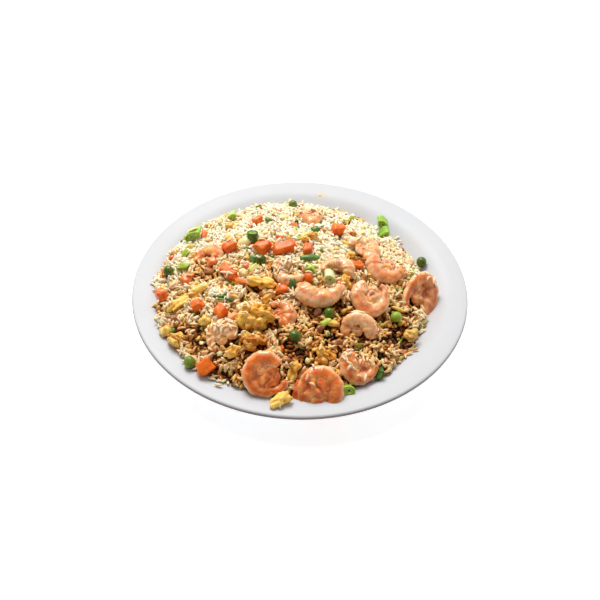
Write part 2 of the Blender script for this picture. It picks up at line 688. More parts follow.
def eggMaterial():
    tree, shader, finish = foodSkin("scrambled_egg_cooked", 0.45, 0.15, 0.25, 0.3, 0.1, (1.0, 0.6, 0.2))
    spot = objectSpot(tree)
    broad = spread(grainOf(spot, 8 * mm, 2.0), 0.32, 0.68)
    peak = attributeOf(tree, "peak")
    dark = attributeOf(tree, "dark")
    colour = between(broad, (255, 216, 104), (244, 178, 56))
    colour = over(colour, spread(dark, 0.0, 1.0), 200, 122, 24)
    colour = over(colour, spread(peak, 0.0, 0.35, 0.0, 0.6), 252, 218, 122)
    colour = over(colour, spread(peak, -0.06, -0.4, 0.0, 0.7), 190, 116, 28)
    white = blots(spot, 3.5, 0.58, 0.75, 0.0, 0.6, shift=0.3)
    white = times(white, spread(dark, 0.0, 0.8, 1.0, 0.0))
    colour = over(colour, white, 254, 232, 176)
    fried = blots(spot, 2.4, 0.58, 0.74, 0.0, 0.5, shift=0.6)
    colour = over(colour, fried, 178, 100, 16)
    wear(shader, colour, spread(broad, 0.0, 1.0, 0.35, 0.5), (grainOf(spot, 0.9 * mm, 3.0, 0.6), 0.3 * mm, 0.7))
    return finish


def eggLobe(look, size, shift, lemon, browned, rough, seed):
    bm = bmesh.new()
    bmesh.ops.create_icosphere(bm, subdivisions=look["level"], radius=0.5)
    dark, = layersOf(bm, "dark")
    for vert in bm.verts:
        vert.co *= 1.0 + look["swell"] * noise.noise(vert.co * 2.6 + Vector((seed * 3.1, 0, 0)))
        vert.co = Vector([part * side + move for part, side, move in zip(vert.co, size, shift)])
        vert[dark] = min(max(browned + lemon, 0.0), 1.0)
    roughen(bm, seed, (look["curd"], look["curdDepth"], False), (look["fine"], look["fineDepth"] * rough, True),
            (1.1, 0.18 * rough, False))
    return bm


def makeEggs(finish, look):
    for number, (node, (heading, tilt, lean, *size, smooth, lobes, browned)) in enumerate(eggs.items(), 1):
        size = Vector(size) * mm
        bm = bmesh.new()
        part = 1.0 if lobes == 1 else 0.38 + 0.6 / lobes
        for lobe in range(lobes):
            around = math.radians(137.5) * lobe + number
            away = look["reach"] * (lobe > 0 or lobes == 2)
            shift = (math.cos(around) * away * size.x, math.sin(around) * away * size.y * (lobes > 2),
                     -0.3 * size.z * lobe / lobes)
            lemon = 0.8 * wave(number * 2.7, lobe * 1.9, 0.4)
            own = (size.x * part, size.y * (part if lobes > 2 else 0.9), size.z)
            gather(bm, eggLobe(look, own, shift, lemon, browned, 1.0 - 0.85 * smooth, number * 10 + lobe))
        serve(bm, node, "_curd", (heading, tilt, lean), finish)


makeEggs(eggMaterial(), eggLook)
print("egg curds:", len(eggs))


# scallions

scallionLook = dict(radius=4.8 * mm, wall=0.8 * mm, layers=3, gap=0.35 * mm, around=36, rows=6)
scallions = {  # heading, tilt, lean, scale, length, how light its green is, how open
    "scallion_01": (20, 82, -8, 1.25, 10, 0.85, 0.55), "scallion_02": (40, 78, -6, 0.95, 8, 1.0, 0.6),
    "scallion_03": (0, -12, 0, 0.85, 12, 0.1, 0.8), "scallion_04": (-30, 84, 12, 1.05, 10, 0.85, 0.6),
    "scallion_05": (60, 84, 8, 1.05, 10, 0.7, 0.6), "scallion_06": (-30, 78, 10, 0.90, 8, 0.8, 0.8),
    "scallion_07": (-35, 82, 14, 0.92, 10, 1.4, 0.8), "scallion_08": (0, 52, 10, 0.86, 5, 0.9, 0.9),
    "scallion_09": (80, 70, 20, 0.75, 7, 0.0, 0.6)}


def scallionRing(look, scale, length, fresh, gape, seed):
    # nested leaf tubes, pale inside and green outside
    bm = bmesh.new()
    depth, light = layersOf(bm, "depth", "light")
    for layer in range(look["layers"]):
        outer = scale * look["radius"] - layer * (look["wall"] + look["gap"])
        walls = []
        for radius in (outer, outer - look["wall"]):
            for row in range(look["rows"]):
                share = row / (look["rows"] - 1)
                rise = (share - 0.5) * (length * mm) * (1 - 0.05 * layer)
                ring = []
                for step in range(look["around"]):
                    angle = math.tau * step / look["around"]
                    sway = noise.noise(Vector((math.cos(angle), math.sin(angle), share * 0.8 + seed + layer)) * 1.3)
                    fray = 0.4 * mm * wave(math.cos(angle) * 3, math.sin(angle) * 3, seed + layer)
                    reach = radius * (1 + 0.10 * sway)
                    edge = fray * (abs(share - 0.5) * 2) ** 2
                    pinch = gape + 0.12 * math.cos(angle) ** 2
                    pinch += 0.2 * wave(math.cos(angle), seed, share)
                    vert = bm.verts.new((reach * math.cos(angle) * (1.35 - 0.25 * gape),
                                         reach * math.sin(angle) * pinch, rise + edge))
                    vert[depth] = (layer + (radius < outer) * 0.6) / look["layers"]
                    vert[light] = fresh
                    ring.append(vert)
                walls.append(ring)
        count = look["rows"]
        loop = walls[:count] + walls[:count - 1:-1]
        wrap(bm, loop + loop[:1], look["around"])
    bmesh.ops.recalc_face_normals(bm, faces=bm.faces)
    return bm


def scallionMaterial():
    tree, shader, finish = foodSkin("scallion_cut", 0.4, 0.1, 0.15, 0.5, 0.1, (0.5, 1.0, 0.2))
    spot = objectSpot(tree)
    depth = attributeOf(tree, "depth")
    light = attributeOf(tree, "light")
    patch = spread(grainOf(spot, 5 * mm, 2.0), 0.35, 0.65, -0.15, 0.15)
    fresh = plus(light, patch)
    leaf = between(spread(fresh, 0.0, 0.5), (44, 92, 18), (92, 160, 34))
    leaf = over(leaf, spread(fresh, 0.5, 0.9), 166, 200, 52)
    leaf = over(leaf, spread(fresh, 0.95, 1.4), 226, 232, 176)
    colour = mixColour(spread(depth, 0.1, 0.75, 0.0, 0.7), leaf, srgb(204, 218, 104))
    streak = blots(spot, 1.4, 0.5, 0.75, 0.0, 0.4)
    colour = over(colour, streak, 176, 208, 84)
    wear(shader, colour, None, (grainOf(spot, 0.8 * mm, 2.0), 0.12 * mm, 0.4))
    return finish


def makeScallions(finish, look):
    for seed, (node, row) in enumerate(scallions.items(), 1):
        serve(scallionRing(look, *row[3:], seed), node, "_ring", row[:3], finish)


makeScallions(scallionMaterial(), scallionLook)
print("scallion rings:", len(scallions))


# rice heap: core and bed

heapLook = dict(cuts=2, pull=3.4 * mm, shrink=0.974, thin=0.5 * mm, clearance=0.3 * mm, clump=24 * mm,
                clumpDepth=2.4 * mm, fold=10.5 * mm, foldDepth=5.2 * mm, foldWander=0.35, foldSharp=2.8,
                foldShift=0.84, calmBack=0.32, bare=0.5, bareFrom=0.8 * mm, bareOver=2.4 * mm, upward=0.05)
sauceLook = dict(front=0.50, mottle=0.26, mottleSize=20 * mm, brown=0.8, pale=-1.0, least=0.17, most=1.2)
brownPatches = (  # x, y, across in mm, how brown
    (20, -60, 17, 0.85), (68, -58, 17, 1.35), (84, -14, 12, 0.9), (10, -82, 15, 0.5), (50, -82, 14, 0.5),
    (-30, -80, 12, 0.4), (-76, 4, 13, 0.65), (-50, -72, 12, 0.3), (-10, -60, 12, 0.3), (-82, -72, 14, 0.1),
    (-45, -108, 16, 0.4), (52, 8, 10, 0.4), (-30, 14, 10, 0.3), (5, -108, 18, 0.3), (72, 30, 18, 0.2),
    (0, -86, 15, 0.8), (80, 46, 14, 0.18))
palePatches = (  # x, y, across in mm, how pale
    (-62, -62, 12, 0.35), (48, -55, 12, 0.4), (-10, -44, 10, 0.25), (-100, -36, 18, 0.3), (88, -82, 18, 0.25),
    (-88, -88, 14, 0.2), (-20, -75, 8, 0.25), (30, -100, 8, 0.15), (-60, -30, 16, 0.25))
riceLow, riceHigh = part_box("rice")
heapCentre = Vector(((riceLow.x + riceHigh.x) / 2, (riceLow.y + riceHigh.y) / 2, 0))


def clumps(co, look):
    # rounded clumps with narrow folds between them
    wander = noise.noise_vector(co / look["clump"]) * look["fold"] * look["foldWander"]
    fold = abs(noise.noise((co + wander) / look["fold"] + Vector((3.1, 7.7, 1.9))))
    deep = look["calmBack"] + (1 - look["calmBack"]) * ease((45 * mm - co.y) / (90 * mm))
    swell = look["clumpDepth"] * noise.noise(co / look["clump"])
    return deep * (swell + look["foldDepth"] * (min(fold * look["foldSharp"], 1.0) - look["foldShift"]))


def brownness(co):
    # how much sauce has browned the rice at a spot: 0 to about 1
    look = sauceLook
    amount = look["front"] * ease((60 * mm - co.y) / (150 * mm))
    amount += look["mottle"] * noise.noise(co / look["mottleSize"])
    for patches, strength in ((brownPatches, look["brown"]), (palePatches, look["pale"])):
        for x, y, across, much in patches:
            away = (co.x - x * mm) ** 2 + (co.y - y * mm) ** 2
            amount += strength * much * math.exp(-away / (across * mm) ** 2)
    return min(max(amount, look["least"] * ease((50 * mm - co.y) / (90 * mm))), look["most"])


def splitRice(cuts):
    # the heap's surface in finer triangles
    bm = mergedCopy("rice")
    bmesh.ops.subdivide_edges(bm, edges=bm.edges[:], cuts=cuts, use_grid_fill=True)
    bmesh.ops.triangulate(bm, faces=bm.faces[:])
    bm.normal_update()
    return bm


def soften(bm, verts):
    bmesh.ops.smooth_vert(bm, verts=verts, factor=0.5, use_axis_x=True, use_axis_y=True, use_axis_z=True)


def makeCore(look):
    bm = splitRice(look["cuts"])
    soften(bm, [vert for vert in bm.verts if vert.normal.z > look["upward"]])
    for vert in bm.verts:
        flat = Vector((vert.co.x, vert.co.y, 0))
        under = plateTop(flat.length / mm) * mm + look["clearance"]
        if vert.normal.z > look["upward"]:
            vert.co.z = max(vert.co.z - look["pull"] + clumps(vert.co, look), under + look["thin"])
        else:
            vert.co.z = max(vert.co.z, under)
        vert.co.x = heapCentre.x + (vert.co.x - heapCentre.x) * look["shrink"]
        vert.co.y = heapCentre.y + (vert.co.y - heapCentre.y) * look["shrink"]
    bmesh.ops.recalc_face_normals(bm, faces=bm.faces)
    soy, = layersOf(bm, "soy")
    for vert in bm.verts:
        vert[soy] = brownness(vert.co)

    tree, shader, crumb = newMaterial("rice_core", Roughness=0.6, Specular_IOR_Level=0.3)
    spot = objectSpot(tree)
    browned = attributeOf(tree, "soy")
    colour = between(spread(browned, 0.05, 0.35), (246, 214, 160), (136, 88, 36))
    colour = over(colour, spread(browned, 0.35, 0.9), 66, 40, 15)
    flecks = blots(spot, 2.0, 0.48, 0.7, 0.0, 0.6)
    colour = over(colour, times(flecks, spread(browned, 1.0, 0.3)), 222, 180, 120)
    wear(shader, colour, None, (grainOf(spot, 2.0 * mm, 3.0, 0.6), 1.0 * mm, 0.8))
    newPiece("rice_core", bm, crumb, ["rice"])


def makeBed(look):
    # the surface that the grains lie on; it isn't kept
    bm = splitRice(look["cuts"])
    gone = [face for face in bm.faces if face.normal.z < look["upward"]]
    bmesh.ops.delete(bm, geom=gone, context='FACES')
    soften(bm, bm.verts)
    bm.normal_update()
    relief, soy, cover = layersOf(bm, "relief", "soy", "cover")
    for vert in bm.verts:
        vert[soy] = brownness(vert.co)
        vert[relief] = clumps(vert.co, look)
        hollow = ease((-vert[relief] - look["bareFrom"]) / look["bareOver"])
        vert[cover] = 1.0 - look["bare"] * hollow * min(vert[soy] * 1.6, 1.0)
        vert.co += vert.normal * vert[relief]
    return meshOf("rice_bed", bm)


makeCore(heapLook)
bedMesh = makeBed(heapLook)
print("rice core and bed:", len(bedMesh.polygons), "faces")


def heapReach(angle):
    # how far out the heap comes in one direction
    ray = Vector((math.cos(angle), math.sin(angle), 0))
    reach = 130 * mm
    while reach > 60 * mm:
        spot = heapCentre + ray * reach
        if cadRice.ray_cast(Vector((spot.x, spot.y, 0.2)), -up)[0]:
            return reach
        reach -= 0.5 * mm
    return reach


spillWidth = 9 * mm


def makeSpillBed(width, turns=240, rows=6):
    # a ragged collar of plate round the heap, where single grains have slipped off
    bm = bmesh.new()
    cover, soy = layersOf(bm, "cover", "soy")
    rings = []
    for turn in range(turns):
        angle = math.tau * turn / turns
        ray = Vector((math.cos(angle), math.sin(angle), 0))
        start = heapReach(angle) - 2.5 * mm
        lively = ease(0.55 + 1.6 * noise.noise(ray * 4.3 + Vector((0, 0, 2.7))))
        ring = []
        for row in range(rows):
            share = row / (rows - 1)
            spot = heapCentre + ray * (start + width * share)
            spot.z = (plateTop(Vector((spot.x, spot.y, 0)).length / mm) + 1.15) * mm
            vert = bm.verts.new(spot)
            vert[cover] = max(0.0, (1 - share) ** 1.5 * lively + 0.9 * (share < 0.3))
            vert[soy] = 0.08 + 0.3 * ease((20 * mm - spot.y) / (80 * mm))
            ring.append(vert)
        rings.append(ring)
    wrap(bm, rings + rings[:1], rows - 1)
    bmesh.ops.recalc_face_normals(bm, faces=bm.faces)
    if sum(face.normal.z for face in bm.faces) < 0:
        bmesh.ops.reverse_faces(bm, faces=bm.faces)
    return meshOf("spill_bed", bm)


dustedWith = {  # how much rice lies on a topping; the rest get a little
    **dict.fromkeys(("placed_onion", "pea_01", "pea_02", "pea_03", "pea_04", "pea_06", "shrimp_01", "carrot_01"), 0.0),
    "shrimp_02": 0.03, "shrimp_03": 0.5, "shrimp_05": 0.02, "shrimp_06": 0.03, "shrimp_07": 0.02, "shrimp_09": 0.12,
    "shrimp_10": 0.5, "shrimp_11": 0.1, "shrimp_12": 0.15, "shrimp_13": 0.4, "shrimp_14": 0.06, "shrimp_15": 0.6,
    "egg_01": 0.22, "egg_02": 0.2, "carrot_06": 0.2, "carrot_10": 0.2, "pea_05": 0.3}


def joined(name, kinds):
    # one copy of several pieces, for grains to keep clear of or lie on; it isn't kept
    bm = bmesh.new()
    cover, soy = layersOf(bm, "cover", "soy")
    count = 0
    for piece in [each for each in bpy.context.scene.objects if each.name.endswith(kinds)]:
        bm.from_mesh(piece.data)
        bm.verts.ensure_lookup_table()
        amount = dustedWith.get(piece.name.rsplit("_", 1)[0], 0.07)
        near = min(vert.co.y for vert in bm.verts[count:])
        depth = max(vert.co.y for vert in bm.verts[count:]) - near
        for vert in bm.verts[count:]:
            farther = (vert.co.y - near) / depth
            vert[cover] = amount * ease((vert.normal.z - 0.35) / 0.3) * (0.35 + 1.3 * ease(farther * 1.4 - 0.2))
            vert[soy] = 0.12 + 0.5 * brownness(vert.co)
        count = len(bm.verts)
    return linked(name, meshOf(name, bm))


# scattering

scatterInputs = {
    "Geometry": ["Bed"], "Object": ["Piece", "Keep Clear Of"], "Material": ["Material"], "Int": ["Seed", "Tiles"],
    "Float": ["Apart", "Cover", "Tilt", "Lowest", "Highest", "Shortest", "Longest", "Thinnest", "Thickest",
              "Clearance"]}
layLook = dict(mostPoints=1.5e6, flowScale=60.0, flowTurn=18.0, looseTurn=0.9, nearest=0.35, rayLength=0.03)


def scatterTree():
    tree = bpy.data.node_groups.new("lay_pieces", 'GeometryNodeTree')
    for kind, names in scatterInputs.items():
        for name in names:
            tree.interface.new_socket(name=name, in_out='INPUT', socket_type="NodeSocket" + kind)
    tree.interface.new_socket(name="Pieces", in_out='OUTPUT', socket_type='NodeSocketGeometry')
    start = tree.nodes.new("NodeGroupInput").outputs
    end = tree.nodes.new("NodeGroupOutput")

    def anyOf(low, high, step):
        inputs = {2: low, 3: high, 8: plus(start["Seed"], float(step))}
        return addNode(tree, "FunctionNodeRandomValue", inputs, data_type='FLOAT').outputs[1]

    def named(name, kind='FLOAT'):
        return addNode(tree, "GeometryNodeInputNamedAttribute", {"Name": name}, data_type=kind).outputs["Attribute"]

    def store(geometry, name, value, domain, kind='FLOAT'):
        inputs = {"Geometry": geometry, "Name": name, "Value": value}
        return addNode(tree, "GeometryNodeStoreNamedAttribute", inputs, data_type=kind, domain=domain).outputs[0]

    def scaled(vector, scale):
        return addNode(tree, "ShaderNodeVectorMath", {0: vector, "Scale": scale}, operation='SCALE').outputs[0]

    def vectorOf(*parts):
        return addNode(tree, "ShaderNodeCombineXYZ", dict(enumerate(parts))).outputs[0]

    # points on the bed, thicker where its cover is
    points = addNode(tree, "GeometryNodeDistributePointsOnFaces",
                     {"Mesh": start["Bed"], "Distance Min": start["Apart"], "Density Max": layLook["mostPoints"],
                      "Density Factor": times(named("cover"), start["Cover"]), "Seed": start["Seed"]},
                     distribute_method='POISSON').outputs
    lift = anyOf(start["Lowest"], start["Highest"], 3)
    lifted = addNode(tree, "GeometryNodeSetPosition",
                     {"Geometry": points["Points"], "Offset": scaled(points["Normal"], lift)}).outputs[0]
    marked = store(lifted, "lift", plus(lift, named("relief")), 'POINT')

    # points inside a topping or too near one are dropped
    other = addNode(tree, "GeometryNodeObjectInfo", {"Object": start["Keep Clear Of"]}).outputs["Geometry"]
    near = addNode(tree, "GeometryNodeProximity", {0: other}, target_element='FACES').outputs["Distance"]
    close = mathOf('LESS_THAN', near, times(start["Clearance"], anyOf(layLook["nearest"], 1.0, 5)))
    ray = addNode(tree, "GeometryNodeRaycast", {"Target Geometry": other, "Ray Direction": (0, 0, 1),
                                                "Ray Length": layLook["rayLength"]}).outputs
    facing = addNode(tree, "ShaderNodeSeparateXYZ", {0: ray["Hit Normal"]}).outputs["Z"]
    inside = times(ray["Is Hit"], mathOf('GREATER_THAN', facing, 0.0))
    left = addNode(tree, "GeometryNodeDeleteGeometry", {"Geometry": marked, "Selection": plus(close, inside, True)},
                   domain='POINT').outputs[0]

    # each piece rolls about its length, tips and turns freely
    where = addNode(tree, "GeometryNodeInputPosition").outputs[0]
    flow = addNode(tree, "ShaderNodeTexNoise", {"Vector": where, "Scale": layLook["flowScale"], "Detail": 1.0})
    heading = plus(times(flow.outputs["Fac"], layLook["flowTurn"]),
                   anyOf(-layLook["looseTurn"], layLook["looseTurn"], 8))
    steep = anyOf(times(start["Tilt"], -1.0), start["Tilt"], 7)
    swing = vectorOf(anyOf(-math.pi, math.pi, 6), steep, heading)
    swing = addNode(tree, "FunctionNodeEulerToRotation", {0: swing}).outputs[0]
    turn = addNode(tree, "FunctionNodeRotateRotation", {0: points["Rotation"], 1: swing},
                   rotation_space='LOCAL').outputs[0]
    thick = anyOf(start["Thinnest"], start["Thickest"], 11)
    size = vectorOf(anyOf(start["Shortest"], start["Longest"], 9), thick, thick)
    piece = addNode(tree, "GeometryNodeObjectInfo", {"Object": start["Piece"]}).outputs["Geometry"]
    laid = addNode(tree, "GeometryNodeInstanceOnPoints",
                   {"Points": left, "Instance": piece, "Rotation": turn, "Scale": size}).outputs[0]

    # every piece keeps its own shade, depth and square of the surface map
    number = addNode(tree, "GeometryNodeInputIndex").outputs[0]
    laid = store(store(laid, "tone", anyOf(0.0, 1.0, 13), 'INSTANCE'), "tile", number, 'INSTANCE')
    real = addNode(tree, "GeometryNodeRealizeInstances", {0: laid}).outputs[0]
    tile = named("tile")
    corner = vectorOf(mathOf('MODULO', tile, start["Tiles"]),
                      mathOf('FLOOR', mathOf('DIVIDE', tile, start["Tiles"]), 0.0))
    spot = addNode(tree, "ShaderNodeVectorMath", {0: named("own_map", 'FLOAT_VECTOR'), 1: corner}, operation='ADD')
    place = scaled(spot.outputs[0], mathOf('DIVIDE', 1.0, start["Tiles"]))
    mapped = store(real, "OFBake", place, 'CORNER', 'FLOAT2')
    worn = addNode(tree, "GeometryNodeSetMaterial", {"Geometry": mapped, "Material": start["Material"]})
    tree.links.new(worn.outputs[0], end.inputs["Pieces"])
    return tree


layPieces = scatterTree()


def scatter(name, bed, piece, clear, material, look):
    host = linked(name + "_host", bed)
    modifier = host.modifiers.new("lay", 'NODES')
    modifier.node_group = layPieces
    values = {"Piece": piece, "Keep Clear Of": clear, "Material": material, "Apart": look["apart"] * mm,
              "Cover": look.get("cover", 1.0), "Seed": look["seed"], "Tilt": math.radians(look["tilt"]),
              "Clearance": look["clear"] * mm, "Tiles": look["tiles"]}
    values["Lowest"], values["Highest"] = [value * mm for value in look["lift"]]
    values["Shortest"], values["Longest"] = look["length"]
    values["Thinnest"], values["Thickest"] = look["thick"]
    for socket in layPieces.interface.items_tree:
        if socket.name in values:
            modifier[socket.identifier] = values[socket.name]
    bpy.context.view_layer.update()
    ready = host.evaluated_get(bpy.context.evaluated_depsgraph_get())
    mesh = bpy.data.meshes.new_from_object(ready)
    mesh.name = name
    host.modifiers.clear()
    bpy.data.objects.remove(host)
    dress(linked(name, mesh), material)
    print(name, len(mesh.polygons) // max(len(piece.data.polygons), 1), "pieces,", len(mesh.polygons), "faces")


def pattern(name, bm):
    # a loose piece that the scatter copies; it isn't kept
    made = linked(name, meshOf(name, bm))
    made.data.polygons.foreach_set("use_smooth", [True] * len(made.data.polygons))
    return made


stations = (-0.76, -0.28, 0.3, 0.76)  # where a grain has its rings, from one tip to the other


def spindle(name, length, thick, bend=0.0, flat=0.85, blunt=(0.56, 0.52), sides=6):
    # a grain: rings along its length closed by a point at each end, with its own small map
    length, thick, bend = length * mm, thick * mm, bend * mm
    bm = bmesh.new()
    own = bm.loops.layers.uv.new("own_map")
    widths = [blunt[0], 0.97, 1.0, blunt[1]]
    rings = []
    for share, width in zip(stations, widths):
        middle = Vector((share * length / 2, 0, bend * (1 - share * share)))
        ring = []
        for side in range(sides):
            angle = math.tau * side / sides
            offset = Vector((0, math.cos(angle), math.sin(angle) * flat)) * thick / 2 * width
            ring.append(bm.verts.new(middle + offset))
        rings.append(ring)
    tips = [bm.verts.new((-length / 2, 0, 0)), bm.verts.new((length / 2, 0, 0))]

    def put(verts, spots):
        face = bm.faces.new(verts)
        for loop, spot in zip(face.loops, spots):
            loop[own].uv = (0.06 + 0.88 * spot[0], 0.06 + 0.88 * spot[1])

    along = [0.0] + [(share + 1) / 2 for share in stations] + [1.0]
    for side in range(sides):
        beside = (side + 1) % sides
        low, high = side / sides, (side + 1) / sides
        put((tips[0], rings[0][beside], rings[0][side]), ((0, (low + high) / 2), (along[1], high), (along[1], low)))
        for step, (ring, after) in enumerate(zip(rings, rings[1:]), 1):
            put((ring[side], ring[beside], after[beside], after[side]),
                ((along[step], low), (along[step], high), (along[step + 1], high), (along[step + 1], low)))
        put((rings[-1][side], rings[-1][beside], tips[1]), ((along[4], low), (along[4], high), (1, (low + high) / 2)))
    bmesh.ops.recalc_face_normals(bm, faces=bm.faces)
    return pattern(name, bm)


# rice grains

def riceMaterial():
    tree, shader, finish = foodSkin("rice_fried", 0.46, 0.08, 0.15, 0.26, 0.5, (1.0, 0.7, 0.4))
    spot = objectSpot(tree)
    tone = attributeOf(tree, "tone")
    lift = attributeOf(tree, "lift")
    browned = attributeOf(tree, "soy")
    clump = spread(grainOf(spot, 9 * mm, 2.0, 0.5, 0.6), 0.32, 0.68, -0.36, 0.38)
    clump = times(clump, spread(browned, 0.0, 0.4, 0.5, 1.0))
    depth = times(spread(lift, 0.6 * mm, -3.8 * mm, -0.2, 1.1), spread(browned, 0.02, 0.45, 0.12, 1.0))
    mixed = plus(times(tone, spread(browned, 0.0, 0.4, 0.2, 0.3)), times(browned, 0.32))
    mixed = plus(plus(mixed, depth), clump)
    colour = between(spread(mixed, 0.08, 0.42), (255, 243, 218), (254, 230, 184))
    colour = over(colour, spread(mixed, 0.42, 0.72), 220, 166, 86)
    colour = over(colour, spread(mixed, 0.72, 1.0), 160, 102, 42)
    colour = over(colour, spread(mixed, 1.0, 1.4), 86, 50, 14)
    colour = mixColour(spread(browned, 0.04, 0.6, 0.0, 0.65), colour, srgb(234, 190, 112), 'MULTIPLY')
    streak = spread(grainOf(spot, 1.6 * mm, 2.0, 0.6), 0.55, 0.75, 0.0, 0.3)
    colour = over(colour, streak, 206, 148, 74)
    wear(shader, colour, spread(tone, 0.0, 1.0, 0.36, 0.52))
    return finish


grainLook = {  # shape of the grain, then how it lies, in mm and degrees
    "rice_under": (dict(length=7.8, thick=2.7), dict(
        apart=3.1, seed=11, tilt=25, lift=(-2.8, -1.0), length=(0.8, 1.1), thick=(0.9, 1.1), clear=0.6, tiles=72)),
    "rice_straight": (dict(length=7.7, thick=2.3), dict(
        apart=3.2, seed=21, tilt=40, lift=(-1.8, 0.4), length=(0.75, 1.15), thick=(0.85, 1.15), clear=1.5, tiles=64)),
    "rice_bent": (dict(length=7.9, thick=2.3, bend=0.9), dict(
        apart=3.4, seed=31, tilt=48, lift=(-1.2, 1.0), length=(0.75, 1.12), thick=(0.85, 1.15), clear=1.6, tiles=62)),
    "rice_plump": (dict(length=6.8, thick=2.6, flat=0.9, blunt=(0.7, 0.6)), dict(
        apart=4.2, seed=41, tilt=48, lift=(-0.6, 1.5), length=(0.85, 1.15), thick=(0.88, 1.08), clear=1.7, tiles=52)),
    "rice_broken": (dict(length=4.4, thick=2.3, blunt=(0.78, 0.64)), dict(
        apart=4.4, seed=51, tilt=60, lift=(-1.0, 1.8), length=(0.7, 1.2), thick=(0.8, 1.1), clear=1.1, tiles=50))}
spillLook = dict(apart=3.0, cover=0.8, seed=61, tilt=9, lift=(0.0, 0.9), length=(0.8, 1.1), thick=(0.9, 1.1),
                 clear=1.2, tiles=40)
ridingLook = dict(apart=2.6, seed=71, tilt=6, lift=(0.3, 0.9), length=(0.6, 1.0), thick=(0.8, 1.0), clear=0.0,
                  tiles=40)


def mapOwn(bm, size):
    # a small map of a loose piece: its upper side beside its lower side
    own = bm.loops.layers.uv.new("own_map")
    length, width = size[0] * mm, size[1] * mm
    for face in bm.faces:
        side = 0.5 if face.normal.z > 0 else 0.0
        for loop in face.loops:
            u = 0.5 + 0.44 * max(-1, min(1, loop.vert.co.x / length * 2))
            v = 0.25 + 0.2 * max(-1, min(1, loop.vert.co.y / width * 2))
            loop[own].uv = (u, side + v)


def lump(size, seed, swell=0.5, level=2):
    # a small irregular crumb
    bm = bmesh.new()
    bmesh.ops.create_icosphere(bm, subdivisions=level, radius=0.5)
    for vert in bm.verts:
        vert.co *= 1 + swell * noise.noise(vert.co * 2.6 + Vector((seed * 3.3, 0, 0)))
        vert.co = scaledBy(vert.co, [side * mm for side in size])
    bm.normal_update()
    mapOwn(bm, size)
    return bm


def chip(size, seed, skew=0.3, cuts=2):
    # a small cut block
    bm = softBlock(size, cuts, min(size) * 0.3, skew, seed)
    bm.normal_update()
    mapOwn(bm, size)
    return bm


def sliver(size, curve, seed, columns=6):
    # a thin curved strip of leaf
    length, wide, thin = [side * mm for side in size]
    bm = bmesh.new()
    sheet = []
    for column in range(columns + 1):
        share = column / columns * 2 - 1
        width = wide / 2 * (1 - 0.45 * abs(share) ** 2.2) * (1 + 0.2 * wave(share * 2, seed, 0))
        sheet.append([(share * length / 2, across * width, -(curve * mm * (abs(across) * 0.8 + share * share)))
                      for across in (-1, 0, 1)])
    layers = [[[bm.verts.new(Vector(co) + up * shift) for co in row] for row in sheet]
              for shift in (thin / 2, -thin / 2)]
    for layer in layers:
        wrap(bm, layer, 2)
    for step in (0, 2):
        wrap(bm, [[row[step] for row in layer] for layer in layers], columns)
    for row in (0, columns):
        wrap(bm, [layer[row] for layer in layers], 2)
    bmesh.ops.recalc_face_normals(bm, faces=bm.faces)
    mapOwn(bm, size)
    return bm


def bitMaterial(name, light, dark, accent, roughness=0.4, coat=0.2):
    tree, shader, finish = newMaterial(name + "_finish", Roughness=roughness, Coat_Weight=coat, Coat_Roughness=0.2)
    spot = objectSpot(tree)
    tone = attributeOf(tree, "tone")
    mixed = plus(times(tone, 0.7), times(grainOf(spot, 2.5 * mm, 2.0), 0.3))
    colour = between(spread(mixed, 0.15, 0.85), light, dark)
    colour = over(colour, blots(spot, 1.6, 0.55, 0.72, 0.0, 0.6, shift=0.4), *accent)
    wear(shader, colour, spread(tone, 0.0, 1.0, roughness - 0.06, roughness + 0.08))
    return finish


